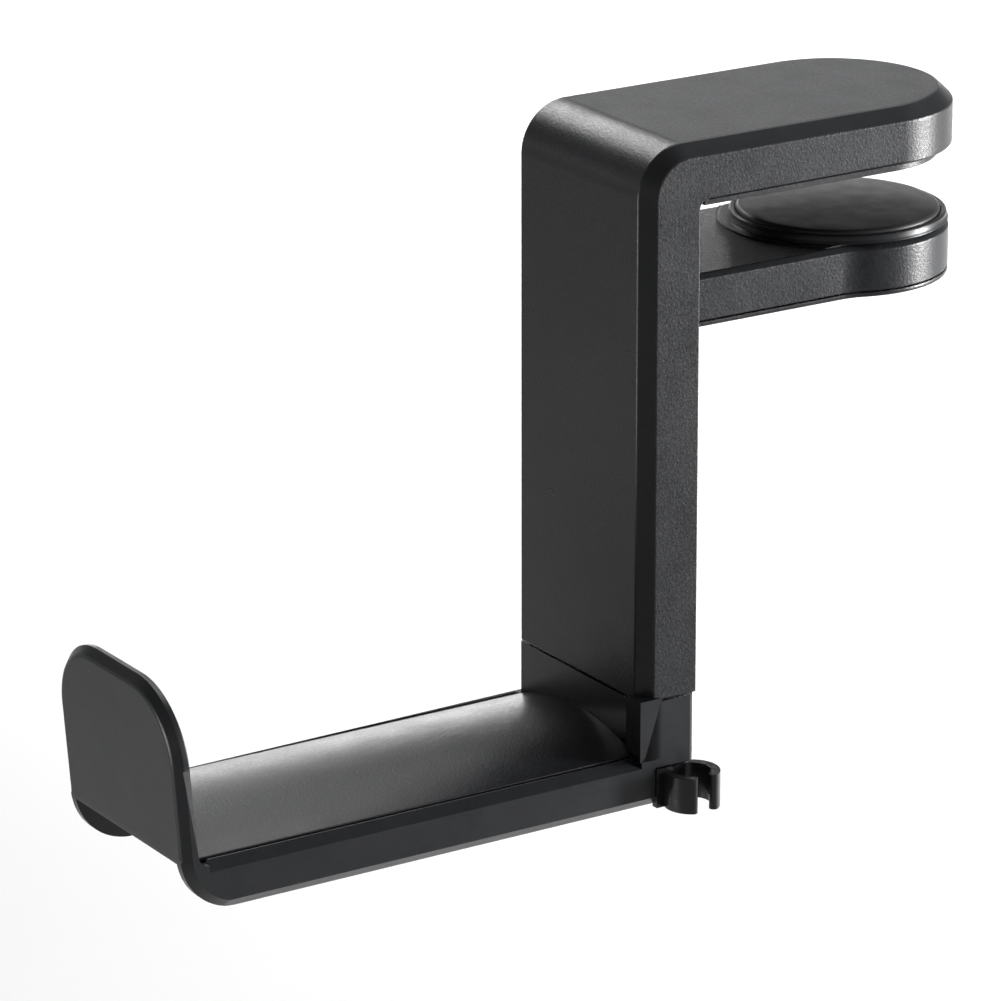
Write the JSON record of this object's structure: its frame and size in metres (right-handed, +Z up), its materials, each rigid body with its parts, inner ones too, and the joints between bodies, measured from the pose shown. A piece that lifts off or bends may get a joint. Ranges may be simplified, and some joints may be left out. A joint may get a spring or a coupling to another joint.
{
  "type": "headphone hook",
  "caption": "Black plastic headphone hook with a desk clamp: an upright with a fixed upper jaw, a sliding lower jaw and a swivelling arched arm with an end plate.",
  "frame": {"origin": "middle of the upper jaw's pad, on the lower face that rests on the desk top", "axes": "+Z up, +Y from the column toward the jaws' ends, so the hook's arm points to -Y at rest; +X to the side of the cable clip"},
  "size_m": [0.0465, 0.1632, 0.1154],
  "materials": {
    "moulding": "satin, fine grain",
    "clip_plastic": "semi-gloss",
    "inner_plastic": "matte",
    "rubber": "matte",
    "screw_steel": "rolled and turned",
    "black_steel": "black oxide",
    "brass": "machined",
    "acetal": "natural acetal"
  },
  "bodies": {
    "column": {"column_shell": "moulding", "rear_cover": "moulding", "rear_cover_screw_1": "black_steel", "rear_cover_screw_2": "black_steel", "rear_cover_screw_3": "black_steel", "rear_cover_screw_4": "black_steel", "upper_jaw_cover": "moulding", "upper_jaw_screw_1": "black_steel", "upper_jaw_screw_2": "black_steel", "upper_jaw_screw_3": "black_steel", "upper_pad": "rubber", "upper_bush": "acetal", "lower_bush": "acetal", "thrust_washer": "screw_steel"},
    "hook": {"hook_frame": "moulding", "cable_clip": "clip_plastic", "lead_screw": "screw_steel", "retaining_clip": "black_steel", "seam_washer": "acetal", "hub_washer": "screw_steel", "hub_screw": "black_steel", "neck_cap": "moulding"},
    "jaw": {"lower_jaw": "moulding", "lower_jaw_cover": "moulding", "lower_jaw_screw_1": "black_steel", "lower_jaw_screw_2": "black_steel", "lower_jaw_screw_3": "black_steel", "jaw_carriage": "inner_plastic", "carriage_screw_1": "black_steel", "carriage_screw_2": "black_steel", "drive_nut": "brass", "pad_carrier": "moulding", "lower_pad": "rubber", "pad_screw": "black_steel"}
  },
  "joints": [
    {"name": "hook_turn", "type": "hinge", "parent": "column", "child": "hook", "pos_m": [0, -0.047, -0.0855], "axis": [0, 0, 1], "range_deg": [-1170, 4140]},
    {"name": "jaw_slide", "type": "slide", "parent": "column", "child": "jaw", "axis": [0, 0, 1], "range_m": [-0.035, 0.01]}
  ],
  "couplings": [
    {"joint": "jaw_slide", "follows": "hook_turn", "m_per_rad": -0.00047746}
  ]
}
